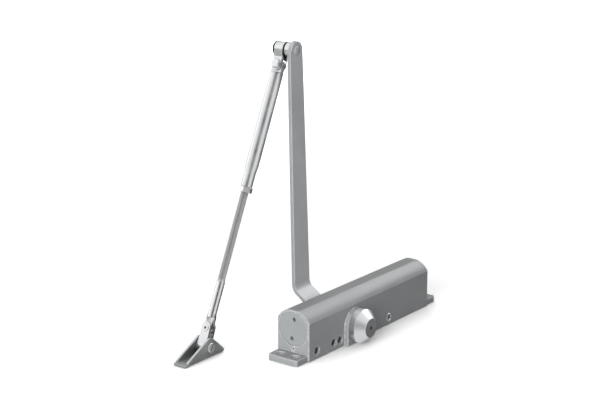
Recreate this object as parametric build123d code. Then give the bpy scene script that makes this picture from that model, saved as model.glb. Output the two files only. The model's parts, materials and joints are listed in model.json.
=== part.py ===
from build123d import *
from math import acos, asin, atan2, cos, hypot, pi, radians, sin, sqrt, tan
import os

# Overhead door closer with a rack and pinion body and a two-piece folding arm.
# Frame: origin at the centre of the four body screws on the mounting plane,
# +X along the body to the spring end, +Y to the arm side, +Z away from the mounting plane.
# All sizes are in millimetres and degrees.

# Clearances
RUN_FIT = 0.05          # radial clearance of everything that turns, slides or is pushed in
OPEN_GAP = 0.4          # free gap between parts that pass without touching

# Cast body
BODY_LEN = 229.0
BODY_WIDTH = 42.0
SIDE_HEIGHT = 42.6
BODY_HEIGHT = 53.8
TOP_WIDTH = 12.4
SHOULDER_BULGE = 2.0     # of the sloping shoulders, outwards
CAST_ROUND = 0.8

# Screw feet
FOOT_LEN = 19.3
FOOT_WIDTH = 38.4
FOOT_THICK = 7.0
FOOT_CORNER = 3.0
FOOT_HOLE_R = 3.0
FOOT_SINK_R = 5.2
FOOT_HOLE_PITCH = 19.0
FOOT_HOLE_INSET = 9.5   # from the end face of the body

# Main bore and end plugs
BORE_Z = 33.0
BORE_R = 17.0
PLUG_R = 19.0
PLUG_FLANGE = 3.0
PLUG_LEN = 12.0
PLUG_STEM_R = 18.0
PLUG_TILT = 8.5
SPANNER_HOLE_R = 2.4
SPANNER_RADIUS = 11.0
SPANNER_DEPTH = 4.0
RING_WIRE_R = 1.1

# Pinion, rack and cross bore
PINION_X = -33.0
PINION_Z = 20.2
TEETH = 11
MODULE = 1.5
PRESSURE = 25.0
ADDENDUM = 1.2
DEDENDUM = 1.6
BACKLASH = 0.16
GEAR_WIDTH = 20.0
JOURNAL_R = 7.0
SQUARE = 9.6
SQUARE_ROUND = 0.6
CROSS_R = 12.0
BEARING_IN = 13.0
BEARING_LEN = 7.0
SEAL_LEN = 3.0
GLAND_R = 13.0
ARM_SWING = 170.0

# Round boss on both sides of the body
BOSS_R = 18.0
BOSS_THICK = 5.4
BOSS_STEP = 1.3
GLAND_PROUD = 2.4

# Pinion cap
CAP_FOOT_R = 18.3
CAP_R = 19.2
CAP_SKIRT = 8.4
CAP_CONE = 9.0
CAP_FACE_R = 10.7
CAP_WALL = 2.2
CAP_HOLE_R = 2.1

# Regulating valves, filler plug and oil gallery
VALVE_Z = 9.0
SWEEP_INSET = 14.4      # from the pressure end face
LATCH_OFFSET = 37.0     # from the pinion, towards the pressure end
BACKCHECK_OFFSET = 25.3
VALVE_R = 3.9
VALVE_SINK_R = 4.9
VALVE_SINK = 1.7
VALVE_LEN = 12.0
NEEDLE_R = 1.5
SLOT_WIDTH = 1.4
SLOT_DEPTH = 1.6
FILLER_X = 35.3
FILLER_Z = 8.4
FILLER_PROUD = 0.6
GALLERY_Z = 10.9
GALLERY_R = 1.6
GALLERY_PAST = 4.3      # beyond the last valve
GALLERY_PLUG_R = 2.4
GALLERY_PLUG_LEN = 6.0
PORT_R = 1.3

# Piston, check valve and spring
HEAD_GAP = 1.0
SPRING_HEAD = 20.0
CHECK_BALL_R = 2.5
CHECK_LIFT = 1.2
CHECK_WELL = 10.0       # depth of the ball seat below the piston end
CHECK_SIDE_GAP = 0.5    # round the ball
CHECK_Z = 43.0
WIRE_R = 2.2
COIL_R = 13.6
COILS = 11

# Main arm
ARM_LENGTH = 295.8
ARM_LEAN = 2.1
ARM_NEAR_Y = 48.7
ARM_THICK = 4.5
ARM_FOOT_WIDTH = 27.6
ARM_TIP_WIDTH = 22.0
ARM_BEND_Z = 48.8
ARM_BEND_R = 12.0
ARM_BEND_SLOPE = 36.0
ARM_EDGE = 0.7
ARM_BOSS_R = 15.0
ARM_BOSS_THICK = 8.4
EYE_R = 10.0
SHOULDER_RISE = 1.0
SHOULDER_ROUND = 0.9

# Arm screw and washer
ARM_SCREW_R = 3.0
ARM_SCREW_LEN = 18.0
ARM_SCREW_AF = 10.0
ARM_SCREW_HEAD = 4.0
ARM_WASHER_R = 8.0
ARM_WASHER_THICK = 1.6

# Elbow pin and the two folded straps
ELBOW_PIN_R = 4.5
ELBOW_HEAD_R = 4.9
ELBOW_HEAD = 0.6
ELBOW_SINK_R = 5.8      # shallow recess round the head
ELBOW_SINK = 0.8
ELBOW_CAP_R = 5.9
ELBOW_CAP = 1.0
SLEEVE_R = 8.0
SLEEVE_LEN = 7.1        # spacer between the arm and the strap's bush
BUSH_WALL = 0.75
BUSH_FLANGE = 2.0
BUSH_FLANGE_R = 7.8
STRAP_WIDTH = 11.2
STRAP_THICK = 2.5
STRAP_TAPER = 9.5
TONGUE_THICK = 5.0
STRAP_BOLT_R = 3.0
ELBOW_BOLT_S = 17.5     # from elbow axis to tilt bolt
SHOE_RIVET_S = 19.5     # from shoe pin to tilt rivet
BOLT_HEAD_R = 5.2
BOLT_HEAD = 3.0
RIVET_HEAD_R = 3.8
RIVET_HEAD = 0.6
RIVET_HOLE_R = 1.5
RIVET_HOLE = 2.0
NUT_AF = 10.0
NUT_THICK = 4.5
THIN_NUT = 2.4          # on the elbow bolt

# Forearm tube, lock nut and rod
TUBE_R = 7.2
TUBE_BORE_R = 5.0
TUBE_FLAT_END = 27.6    # all forearm lengths are from the elbow axis
TUBE_TAPER_START = 128.5
TUBE_NECK_START = 137.5
TUBE_END = 153.0
NECK_R = 6.3
CUTTER_R = 2.5
ROD_R = 4.4
ROD_TOP = 82.0
THREAD_END = 257.0
SHANK_R = 4.6
ROD_FLAT_LEN = 12.0
ROD_FLAT_WIDTH = 9.8
ROD_FLARE = 9.0         # over which the flat widens out of the round
ROD_FLARE_START = 4.8   # width of the flat inside the round
LOCK_NUT_AF = 13.0
LOCK_NUT_THICK = 6.0

# Shoe
SHOE_PIN_X = -166.3
SHOE_PIN_Z = 11.4
SHOE_Y = 79.7
SHOE_FRONT = 41.0
SHOE_TOE = 5.0          # base plate in front of the side plates
SHOE_TOE_ROUND = 2.5
SHOE_REAR = 22.0
SHOE_APEX = 10.4        # above the pin
SHOE_APEX_R = 7.5
SHOE_LIP = 4.4
SHOE_THICK = 2.5
SHOE_SIDE_GAP = 0.6
SHOE_BEND_R = 2.8
SHOE_HOLE_R = 3.0
SHOE_HOLE_XS = (-30.0, 13.0)    # from the pin
SHOE_SCREW_R = 3.0
SHOE_HEAD_R = 5.4
SHOE_HEAD = 2.2

# Derived places
HALF_LEN = BODY_LEN / 2
HALF_WIDTH = BODY_WIDTH / 2
PITCH_R = TEETH * MODULE / 2
TIP_R = PITCH_R + ADDENDUM
ROOT_R = PITCH_R - DEDENDUM
RACK_Z = PINION_Z + PITCH_R
TRAVEL = PITCH_R * radians(ARM_SWING)
VALVE_XS = {
    "sweep_valve": -HALF_LEN + SWEEP_INSET,
    "latch_valve": PINION_X - LATCH_OFFSET,
    "backcheck_valve": PINION_X - BACKCHECK_OFFSET,
}
BOSS_FACE = HALF_WIDTH + BOSS_THICK
BEARING_OUT = BEARING_IN + BEARING_LEN
SEAL_OUT = BEARING_OUT + SEAL_LEN
GLAND_FACE = BOSS_FACE + GLAND_PROUD
WINDOW_HALF = CROSS_R + OPEN_GAP
PISTON_START = -HALF_LEN + PLUG_LEN + HEAD_GAP
WINDOW_START = PINION_X - WINDOW_HALF - TRAVEL
WINDOW_END = PINION_X + WINDOW_HALF
PISTON_END = WINDOW_END + SPRING_HEAD
SPRING_STOP = HALF_LEN - PLUG_LEN
ARM_FAR_Y = ARM_NEAR_Y + ARM_THICK
ARM_BOSS_Y = GLAND_FACE + OPEN_GAP
ARM_BOSS_FAR = ARM_BOSS_Y + ARM_BOSS_THICK
SLEEVE_FACE = ARM_FAR_Y + SLEEVE_LEN
LOOP_R = ELBOW_PIN_R + BUSH_WALL + 2 * RUN_FIT
STRAP_Y = SLEEVE_FACE + BUSH_FLANGE + OPEN_GAP / 2 + STRAP_WIDTH / 2
STRAP_FAR = STRAP_Y + STRAP_WIDTH / 2
BUSH_FAR = STRAP_FAR + OPEN_GAP / 2 + BUSH_FLANGE
LEG_GAP = TONGUE_THICK / 2 + RUN_FIT
LEG_FACE = LEG_GAP + STRAP_THICK
ELBOW_X = PINION_X - ARM_LENGTH * sin(radians(ARM_LEAN))
ELBOW_Z = PINION_Z + ARM_LENGTH * cos(radians(ARM_LEAN))

# Forearm directions: lean in the arm plane, tilt out of it towards the shoe
REACH = hypot(ELBOW_X - SHOE_PIN_X, ELBOW_Z - SHOE_PIN_Z)
LEAN = atan2(ELBOW_X - SHOE_PIN_X, ELBOW_Z - SHOE_PIN_Z)
FLAT_RUN = REACH - ELBOW_BOLT_S - SHOE_RIVET_S
ROD_RUN = hypot(FLAT_RUN, SHOE_Y - STRAP_Y)
TILT = asin((SHOE_Y - STRAP_Y) / ROD_RUN)
DOWN = Vector(-sin(LEAN), 0, -cos(LEAN))
OUT = Vector(-cos(LEAN), 0, sin(LEAN))
ALONG = DOWN * cos(TILT) + Vector(0, 1, 0) * sin(TILT)
ELBOW = Vector(ELBOW_X, STRAP_Y, ELBOW_Z)
BOLT = ELBOW + DOWN * ELBOW_BOLT_S
RIVET = BOLT + ALONG * ROD_RUN
SHOE_PIN = Vector(SHOE_PIN_X, SHOE_Y, SHOE_PIN_Z)
RIVET_S = ELBOW_BOLT_S + ROD_RUN
SHANK_END = RIVET_S - ROD_FLAT_LEN
ELBOW_FRAME = Plane(origin=ELBOW, x_dir=OUT, z_dir=DOWN)
ROD_FRAME = Plane(origin=BOLT - ALONG * ELBOW_BOLT_S, x_dir=OUT, z_dir=ALONG)
SHOE_STRAP_FRAME = Plane(origin=SHOE_PIN, x_dir=OUT, z_dir=-DOWN)

CENTRED_UP = (Align.CENTER, Align.CENTER, Align.MIN)


def rod_x(radius, start, end, y=0.0, z=0.0):
    """Round bar along X."""
    return Pos(start, y, z) * Rot(0, 90, 0) * Cylinder(radius, end - start, align=CENTRED_UP)


def rod_y(radius, start, end, x=PINION_X, z=PINION_Z):
    """Round bar along Y."""
    return Pos(x, start, z) * Rot(-90, 0, 0) * Cylinder(radius, end - start, align=CENTRED_UP)


def rod_z(radius, start, end, x=0.0, y=0.0):
    """Round bar along Z."""
    return Pos(x, y, start) * Cylinder(radius, end - start, align=CENTRED_UP)


def block(x0, x1, y0, y1, z0, z1):
    """Rectangular block between six planes."""
    size = Box(x1 - x0, y1 - y0, z1 - z0)
    return Pos((x0 + x1) / 2, (y0 + y1) / 2, (z0 + z1) / 2) * size


def plate_y(face, start, end):
    """Face drawn in X and Z, pulled from one Y to another."""
    return extrude(Plane.XZ.offset(-end) * face, end - start)


def turned_y(points, x=PINION_X, z=PINION_Z):
    """Ring turned about an axis along Y from (radius, y) points."""
    face = make_face(Polyline(*points, close=True))
    return Pos(x, 0, z) * revolve(face, Axis.Y)


def turned_z(points):
    """Ring turned about the Z axis from (radius, z) points."""
    face = make_face(Polyline(*points, close=True))
    return revolve(Plane.XZ * face, Axis.Z)


def hexagon(across_flats):
    """Hexagon with flats across X."""
    return RegularPolygon(across_flats / 2, 6, major_radius=False, rotation=30)


def hex_blank(across_flats, thick):
    """Hexagon bar standing on Z = 0 with both faces chamfered."""
    corner = across_flats / sqrt(3)
    drop = (corner - across_flats / 2) * tan(radians(30))
    rim = across_flats / 2 * 0.98
    envelope = turned_z([(0, 0), (rim, 0), (corner, drop), (corner, thick - drop), (rim, thick), (0, thick)])
    return extrude(hexagon(across_flats), thick) & envelope


def hex_nut(across_flats, thick, bore):
    """Nut standing on Z = 0."""
    return hex_blank(across_flats, thick) - rod_z(bore, -1, thick + 1)


def round_head(radius, height, edge):
    """Screw head standing on Z = 0 with a rounded rim."""
    head = rod_z(radius, 0, height)
    return fillet(head.edges().sort_by(Axis.Z)[-1], edge)


# Body


def body_prism():
    side = HALF_WIDTH
    top = TOP_WIDTH / 2
    outline = Polyline((-side, SIDE_HEIGHT), (-side, 0), (side, 0), (side, SIDE_HEIGHT))
    outline += SagittaArc((side, SIDE_HEIGHT), (top, BODY_HEIGHT), -SHOULDER_BULGE)
    outline += Line((top, BODY_HEIGHT), (-top, BODY_HEIGHT))
    outline += SagittaArc((-top, BODY_HEIGHT), (-side, SIDE_HEIGHT), -SHOULDER_BULGE)
    prism = extrude(Plane.YZ.offset(-HALF_LEN) * make_face(outline), BODY_LEN)
    long_edges = [e for e in prism.edges().filter_by(Axis.X) if e.center().Z > 1]
    prism = fillet(long_edges, CAST_ROUND)
    ends = [f for f in prism.faces().filter_by(Axis.X)]
    rims = [e for f in ends for e in f.edges() if e.center().Z > 0.1]
    return fillet(rims, CAST_ROUND)


def foot(end):
    """Screw foot at one end of the body, end = -1 or +1."""
    outer = HALF_LEN + FOOT_LEN
    plate = block(HALF_LEN - 5, outer, -FOOT_WIDTH / 2, FOOT_WIDTH / 2, 0, FOOT_THICK)
    corners = [e for e in plate.edges().filter_by(Axis.Z) if e.center().X > HALF_LEN]
    plate = fillet(corners, FOOT_CORNER)
    rim = [e for e in plate.faces().sort_by(Axis.Z)[-1].edges() if e.center().X > HALF_LEN - 4]
    plate = fillet(rim, CAST_ROUND)
    sink = FOOT_SINK_R - FOOT_HOLE_R
    for y in (-FOOT_HOLE_PITCH / 2, FOOT_HOLE_PITCH / 2):
        hole = turned_z([
            (0, -1), (FOOT_HOLE_R, -1), (FOOT_HOLE_R, FOOT_THICK - sink),
            (FOOT_SINK_R + 1, FOOT_THICK + 1), (0, FOOT_THICK + 1),
        ])
        plate -= Pos(HALF_LEN + FOOT_HOLE_INSET, y, 0) * hole
    if end < 0:
        plate = Rot(0, 0, 180) * plate
    return plate


def boss(side):
    """Stepped arched boss round the pinion, side = -1 or +1 in Y."""
    solid = None
    for radius, face in ((BOSS_R + BOSS_STEP / 2, HALF_WIDTH + BOSS_STEP), (BOSS_R, BOSS_FACE)):
        slab = block(PINION_X - radius, PINION_X + radius, 0, face, 0, PINION_Z)
        slab += rod_y(radius, 0, face)
        rim = [e for e in slab.faces().sort_by(Axis.Y)[-1].edges() if e.center().Z > 0.1]
        slab = fillet(rim, CAST_ROUND / 2)
        solid = slab if solid is None else solid + slab
    return mirror(solid, Plane.XZ) if side < 0 else solid


def housing():
    solid = body_prism() + foot(-1) + foot(1) + boss(-1) + boss(1)
    solid -= rod_x(BORE_R, -HALF_LEN - 1, HALF_LEN + 1, z=BORE_Z)
    for end in (-1, 1):
        face = end * HALF_LEN
        flange = sorted((face + end, face - end * PLUG_FLANGE))
        stem = sorted((face + end, face - end * PLUG_LEN))
        solid -= rod_x(PLUG_R + RUN_FIT, *flange, z=BORE_Z)
        solid -= rod_x(PLUG_STEM_R + RUN_FIT, *stem, z=BORE_Z)
    solid -= rod_y(CROSS_R, -SEAL_OUT, SEAL_OUT)
    for face in (-BOSS_FACE, BOSS_FACE):
        near, far = sorted((face * 1.1, SEAL_OUT if face > 0 else -SEAL_OUT))
        solid -= rod_y(GLAND_R, near, far)
    for x in VALVE_XS.values():
        solid -= rod_y(VALVE_SINK_R, -HALF_WIDTH - 1, -HALF_WIDTH + VALVE_SINK, x, VALVE_Z)
        solid -= rod_y(VALVE_R + RUN_FIT, -HALF_WIDTH - 1, -HALF_WIDTH + VALVE_SINK + VALVE_LEN, x, VALVE_Z)
        solid -= rod_y(NEEDLE_R + OPEN_GAP, -HALF_WIDTH, 0, x, VALVE_Z)
        solid -= rod_z(PORT_R, GALLERY_Z, BORE_Z - BORE_R + 1, x)
    solid -= rod_y(VALVE_R + RUN_FIT, -HALF_WIDTH - 1, -HALF_WIDTH + VALVE_LEN, FILLER_X, FILLER_Z)
    solid -= rod_z(PORT_R, FILLER_Z, BORE_Z, FILLER_X, -HALF_WIDTH + VALVE_LEN - 2 * PORT_R)
    solid -= rod_x(GALLERY_R, -HALF_LEN - 1, VALVE_XS["backcheck_valve"] + GALLERY_PAST, z=GALLERY_Z)
    solid -= rod_x(GALLERY_PLUG_R + RUN_FIT, -HALF_LEN - 1, -HALF_LEN + GALLERY_PLUG_LEN, z=GALLERY_Z)
    return solid


def end_plug(end):
    """Round bore plug with two spanner holes, drawn at the pressure end and turned for the other."""
    groove = PLUG_STEM_R - 2 * RING_WIRE_R
    ring_mid = PLUG_LEN - 3 * RING_WIRE_R
    plug = turned_z([
        (0, 0), (PLUG_R - 0.6, 0), (PLUG_R, 0.6), (PLUG_R, PLUG_FLANGE), (PLUG_STEM_R, PLUG_FLANGE),
        (PLUG_STEM_R, ring_mid - RING_WIRE_R), (groove, ring_mid - RING_WIRE_R),
        (groove, ring_mid + RING_WIRE_R), (PLUG_STEM_R, ring_mid + RING_WIRE_R),
        (PLUG_STEM_R, PLUG_LEN), (0, PLUG_LEN),
    ])
    for side in (-1, 1):
        plug -= rod_z(SPANNER_HOLE_R, -1, SPANNER_DEPTH, side * SPANNER_RADIUS)
    placed = Pos(-HALF_LEN, 0, BORE_Z) * Rot(PLUG_TILT, 0, 0) * Rot(0, 90, 0) * plug
    return Rot(0, 0, 180) * placed if end > 0 else placed


def end_plug_seals():
    ring = Torus(PLUG_STEM_R - RING_WIRE_R, RING_WIRE_R - RUN_FIT / 2)
    x = HALF_LEN - PLUG_LEN + 3 * RING_WIRE_R
    return [Pos(side * x, 0, BORE_Z) * Rot(0, 90, 0) * ring for side in (-1, 1)]


def both_sides(ring):
    """The same ring on the arm side and the cap side."""
    return [ring, mirror(ring, Plane.XZ)]


def shaft_bearings():
    outer = CROSS_R - RUN_FIT
    inner = JOURNAL_R + RUN_FIT
    return both_sides(turned_y([
        (inner, BEARING_IN), (outer, BEARING_IN), (outer, BEARING_OUT), (inner, BEARING_OUT),
    ]))


def shaft_seals():
    outer = CROSS_R - RUN_FIT
    inner = JOURNAL_R + RUN_FIT
    start = BEARING_OUT
    return both_sides(turned_y([
        (inner, start + 1), (inner + 1.2, start), (outer, start), (outer, SEAL_OUT),
        (inner + 1.2, SEAL_OUT), (inner + 1.2, start + 2), (inner, start + 1.6),
    ]))


def gland_nuts():
    outer = GLAND_R - RUN_FIT
    inner = JOURNAL_R + OPEN_GAP
    nut = turned_y([
        (inner, SEAL_OUT), (outer, SEAL_OUT), (outer, GLAND_FACE - 0.5), (outer - 0.5, GLAND_FACE),
        (inner, GLAND_FACE),
    ])
    for angle in (0, 90):
        slot = Box(2 * GLAND_R + 2, 4, 3)
        nut -= Pos(PINION_X, GLAND_FACE, PINION_Z) * Rot(0, angle, 0) * Rot(90, 0, 0) * slot
    return both_sides(nut)


def pinion_cap():
    rear = -BOSS_FACE
    rim = rear - CAP_SKIRT
    front = rim - CAP_CONE
    roof = front + CAP_WALL
    collar = GLAND_R
    slope = (CAP_R - CAP_FACE_R) / CAP_CONE
    bowl = CAP_R - CAP_WALL * 1.6
    cap = turned_y([
        (collar, rear), (CAP_FOOT_R, rear), (CAP_R, rim), (CAP_FACE_R, front), (CAP_HOLE_R, front),
        (CAP_HOLE_R, roof), (bowl - slope * (rim - roof), roof), (bowl, rim), (bowl, rear - GLAND_PROUD - 2),
        (collar, rear - GLAND_PROUD - 2),
    ])
    outer = [e for e in cap.edges().filter_by(GeomType.CIRCLE) if abs(e.radius - CAP_R) < 0.01]
    cap = fillet(outer, 1.0)
    face = [e for e in cap.edges().filter_by(GeomType.CIRCLE) if abs(e.radius - CAP_FACE_R) < 0.01]
    return fillet(face, 1.0)


def slotted_screw(length, tip_length, tip_r):
    """Slotted screw with its face on Y = 0 and its tip towards +Y."""
    points = [(0, 0), (VALVE_R - 0.4, 0), (VALVE_R, 0.4), (VALVE_R, length - 1)]
    if tip_length:
        points += [(VALVE_R - 1, length), (tip_r, length), (tip_r, length + tip_length - tip_r)]
        points += [(0, length + tip_length)]
    else:
        points += [(VALVE_R - 1, length), (0, length)]
    return turned_y(points, 0, 0) - Box(3 * VALVE_R, 2 * SLOT_DEPTH, SLOT_WIDTH)


def valve(x, turn):
    screw = slotted_screw(VALVE_LEN, HALF_WIDTH - VALVE_SINK - VALVE_LEN - GALLERY_R, NEEDLE_R)
    return Pos(x, -HALF_WIDTH + VALVE_SINK, VALVE_Z) * Rot(0, turn, 0) * screw


def filler_plug():
    screw = slotted_screw(VALVE_LEN - 3, 0, 0)
    collar = rod_y(VALVE_SINK_R, -FILLER_PROUD, 0, 0, 0) - rod_y(VALVE_R - 0.8, -FILLER_PROUD - 1, 1, 0, 0)
    collar = chamfer(collar.edges().group_by(Axis.Y)[0], FILLER_PROUD / 2)
    return Pos(FILLER_X, -HALF_WIDTH, FILLER_Z) * Rot(0, 30, 0) * (screw + collar)


def gallery_plug():
    plug = rod_z(GALLERY_PLUG_R, 0, GALLERY_PLUG_LEN - 0.6)
    plug -= extrude(hexagon(2.5), 2.5)
    return Pos(-HALF_LEN + 0.6, 0, GALLERY_Z) * Rot(0, 90, 0) * plug


# Pinion and piston


def involute(angle):
    return tan(angle) - angle


def gear_face():
    """Involute pinion with a tooth space pointing up."""
    base_r = PITCH_R * cos(radians(PRESSURE))
    half = (pi * MODULE - BACKLASH) / (4 * PITCH_R) + involute(radians(PRESSURE))

    def flank(radius, side):
        turn = half - involute(acos(min(1.0, base_r / radius)))
        return (radius * sin(side * turn), radius * cos(turn))

    start = ROOT_R * 0.95
    feet = [(start * sin(side * half), start * cos(half)) for side in (-1, 1)]
    mid = (base_r + TIP_R) / 2
    tooth = Line(feet[0], flank(base_r, -1))
    tooth += ThreePointArc(flank(base_r, -1), flank(mid, -1), flank(TIP_R, -1))
    tooth += Line(flank(TIP_R, -1), flank(TIP_R, 1))
    tooth += ThreePointArc(flank(TIP_R, 1), flank(mid, 1), flank(base_r, 1))
    tooth += Line(flank(base_r, 1), feet[1])
    tooth += Line(feet[1], feet[0])
    blade = make_face(tooth)
    gear = Circle(ROOT_R)
    for index in range(TEETH):
        gear += Rot(0, 0, (index + 0.5) * 360 / TEETH) * blade
    return gear


def pinion_shaft():
    shaft = Pos(PINION_X, 0, PINION_Z) * plate_y(gear_face(), -GEAR_WIDTH / 2, GEAR_WIDTH / 2)
    shaft += rod_y(JOURNAL_R, -GLAND_FACE, GLAND_FACE)
    square_end = ARM_BOSS_FAR - OPEN_GAP
    square = extrude(RectangleRounded(SQUARE, SQUARE, SQUARE_ROUND), 2 * square_end)
    square = chamfer(square.edges().filter_by(GeomType.LINE).filter_by(Axis.Z, reverse=True), 0.5)
    square = Pos(PINION_X, -square_end, PINION_Z) * Rot(0, -ARM_LEAN, 0) * Rot(-90, 0, 0) * square
    shaft += square
    depth = ARM_SCREW_LEN - ARM_WASHER_THICK
    for side in (-1, 1):
        ends = sorted((side * (square_end + 1), side * (square_end - depth)))
        shaft -= rod_y(ARM_SCREW_R + RUN_FIT, *ends)
    return shaft


def rack_piston():
    radius = BORE_R - RUN_FIT
    half_rack = GEAR_WIDTH / 2 + OPEN_GAP
    clear_z = PINION_Z + CROSS_R + OPEN_GAP
    piston = rod_x(radius, PISTON_START, PISTON_END, z=BORE_Z)
    tip_z = RACK_Z - ADDENDUM
    root_z = RACK_Z + DEDENDUM
    low = BORE_Z - BORE_R - 1
    piston -= block(WINDOW_START, WINDOW_END, -BORE_R, BORE_R, low, tip_z)
    for side in (-1, 1):
        inner, outer = sorted((side * half_rack, side * BORE_R))
        piston -= block(WINDOW_START, WINDOW_END, inner, outer, low, clear_z)
    pitch = pi * MODULE
    lean = tan(radians(PRESSURE))
    space = (pitch + BACKLASH) / 4
    gap = make_face(Polyline(
        (-space - (RACK_Z - tip_z + 1) * lean, tip_z - 1), (space + (RACK_Z - tip_z + 1) * lean, tip_z - 1),
        (space - (root_z - RACK_Z) * lean, root_z), (-space + (root_z - RACK_Z) * lean, root_z), close=True,
    ))
    first = -int((PINION_X - WINDOW_START) / pitch) - 1
    last = int((WINDOW_END - PINION_X) / pitch) + 1
    for index in range(first, last):
        x = PINION_X + (index + 0.5) * pitch
        if WINDOW_START < x < WINDOW_END:
            cut = plate_y(gap, -half_rack - 1, half_rack + 1)
            piston -= Pos(x, 0, 0) * cut & block(WINDOW_START, WINDOW_END, -BORE_R, BORE_R, low, BORE_Z)
    seat = PISTON_END - CHECK_WELL
    piston -= rod_x(PORT_R, WINDOW_START, PISTON_END, z=CHECK_Z)
    piston -= rod_x(CHECK_BALL_R + CHECK_SIDE_GAP, seat, PISTON_END + 1, z=CHECK_Z)
    piston -= rod_x(PORT_R, PISTON_START - 1, WINDOW_START + 1, z=BORE_Z)
    for x in (PISTON_START + 6, WINDOW_START - 6):
        piston -= rod_x(radius + 1, x - 0.6, x + 0.6, z=BORE_Z) - rod_x(radius - 0.5, x - 1, x + 1, z=BORE_Z)
    return piston


def check_ball_x():
    reach = CHECK_BALL_R ** 2 - PORT_R ** 2
    return PISTON_END - CHECK_WELL + sqrt(reach) + RUN_FIT


def check_ball():
    return Pos(check_ball_x(), 0, CHECK_Z) * Sphere(CHECK_BALL_R)


def check_cage():
    start = check_ball_x() + CHECK_BALL_R + CHECK_LIFT
    outer = CHECK_BALL_R + CHECK_SIDE_GAP - RUN_FIT
    return rod_x(outer, start, PISTON_END, z=CHECK_Z) - rod_x(PORT_R, start - 1, PISTON_END + 1, z=CHECK_Z)


def main_spring():
    length = SPRING_STOP - PISTON_END - 2 * WIRE_R - 2 * RUN_FIT
    rise = length / COILS
    path = Helix(pitch=rise, height=length, radius=COIL_R)
    section = Plane(origin=path @ 0, z_dir=path % 0) * Circle(WIRE_R)
    coil = sweep(section, path=path, is_frenet=True)
    return Pos(PISTON_END + WIRE_R + RUN_FIT, 0, BORE_Z) * Rot(0, 90, 0) * coil


# Main arm


def arm_side_face():
    """Bent strip seen from the end of the body, drawn in Y and Z."""
    low_y = ARM_BOSS_Y + ARM_BOSS_THICK / 2
    high_y = ARM_NEAR_Y + ARM_THICK / 2
    low_bend = ARM_BEND_Z - (high_y - low_y) * tan(radians(ARM_BEND_SLOPE))
    top = PINION_Z + ARM_LENGTH + 2 * EYE_R
    points = [(low_y, PINION_Z - ARM_BOSS_R), (low_y, low_bend), (high_y, ARM_BEND_Z), (high_y, top)]
    path = FilletPolyline(*points, radius=ARM_BEND_R)
    return make_face(offset(path, ARM_THICK / 2, kind=Kind.INTERSECTION, side=Side.BOTH).edges())


def arm_front_face():
    """Outline of the arm seen square on, from the pinion to the eye, drawn in X and Z."""
    foot = ARM_FOOT_WIDTH / 2
    elbow = PINION_Z + ARM_LENGTH
    ledge = elbow + SHOULDER_RISE
    left = EYE_R - ARM_TIP_WIDTH
    notch = (-sqrt(EYE_R ** 2 - SHOULDER_RISE ** 2), ledge)
    outline = Polyline(notch, (left, ledge), (-foot, ARM_BEND_Z), (-foot, PINION_Z))
    outline += Line((-foot, PINION_Z), (foot, PINION_Z))
    outline += Polyline((foot, PINION_Z), (foot, ARM_BEND_Z), (EYE_R, elbow))
    outline += ThreePointArc((EYE_R, elbow), (0, elbow + EYE_R), notch)
    face = make_face(outline)
    corners = [v for v in face.vertices() if abs(v.Y - ledge) < 0.01]
    return fillet(corners, SHOULDER_ROUND)


def main_arm():
    strip = extrude(Plane.YZ.offset(-ARM_FOOT_WIDTH) * arm_side_face(), 2 * ARM_FOOT_WIDTH)
    bar = strip & plate_y(arm_front_face(), ARM_BOSS_Y, ARM_FAR_Y + 1)
    broad = [f for f in bar.faces() if abs(f.normal_at().X) < 0.01 and abs(f.normal_at().Y) > 0.3]
    hub_top = PINION_Z + ARM_BOSS_R
    rims = [e for f in broad for e in f.edges() if abs((e % 0.5).X) < 0.9 and e.center().Z > hub_top]
    bar = fillet(rims, ARM_EDGE)
    elbow = PINION_Z + ARM_LENGTH
    hub = rod_y(ARM_BOSS_R, ARM_BOSS_Y, ARM_BOSS_FAR, 0)
    hub = fillet(hub.edges().sort_by(Axis.Y)[-1], 1.0)
    bar += hub
    bar -= rod_y(ELBOW_PIN_R + RUN_FIT, ARM_NEAR_Y - 1, ARM_FAR_Y + 1, 0, elbow)
    bar -= rod_y(ELBOW_SINK_R, ARM_NEAR_Y - 1, ARM_NEAR_Y + ELBOW_SINK, 0, elbow)
    across = SQUARE + 2 * RUN_FIT
    hole = extrude(RectangleRounded(across, across, SQUARE_ROUND), 2 * ARM_BOSS_FAR)
    bar -= Pos(0, 0, PINION_Z) * Rot(-90, 0, 0) * hole
    return Pos(PINION_X, 0, PINION_Z) * Rot(0, -ARM_LEAN, 0) * Pos(0, 0, -PINION_Z) * bar


def arm_washer():
    far = ARM_BOSS_FAR + ARM_WASHER_THICK
    inner = ARM_SCREW_R + RUN_FIT
    return turned_y([(inner, ARM_BOSS_FAR), (ARM_WASHER_R, ARM_BOSS_FAR), (ARM_WASHER_R, far), (inner, far)])


def arm_screw():
    start = ARM_BOSS_FAR + ARM_WASHER_THICK
    screw = hex_blank(ARM_SCREW_AF, ARM_SCREW_HEAD) + rod_z(ARM_SCREW_R, -ARM_SCREW_LEN, ARM_SCREW_HEAD / 2)
    return Pos(PINION_X, start, PINION_Z) * Rot(-90, 0, 0) * screw


def elbow_pin():
    head_y = ARM_NEAR_Y - ELBOW_HEAD
    seat_y = ARM_NEAR_Y + ELBOW_SINK
    cap_y = BUSH_FAR
    far_y = cap_y + ELBOW_CAP
    return turned_y([
        (0, head_y), (ELBOW_HEAD_R * 0.5, head_y + 0.15), (ELBOW_HEAD_R * 0.85, head_y + 0.5),
        (ELBOW_HEAD_R, ARM_NEAR_Y + 0.4), (ELBOW_HEAD_R, seat_y), (ELBOW_PIN_R, seat_y), (ELBOW_PIN_R, cap_y),
        (ELBOW_CAP_R, cap_y),
        (ELBOW_CAP_R, far_y - 0.5), (ELBOW_CAP_R - 0.5, far_y), (0, far_y),
    ], ELBOW_X, ELBOW_Z)


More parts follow.
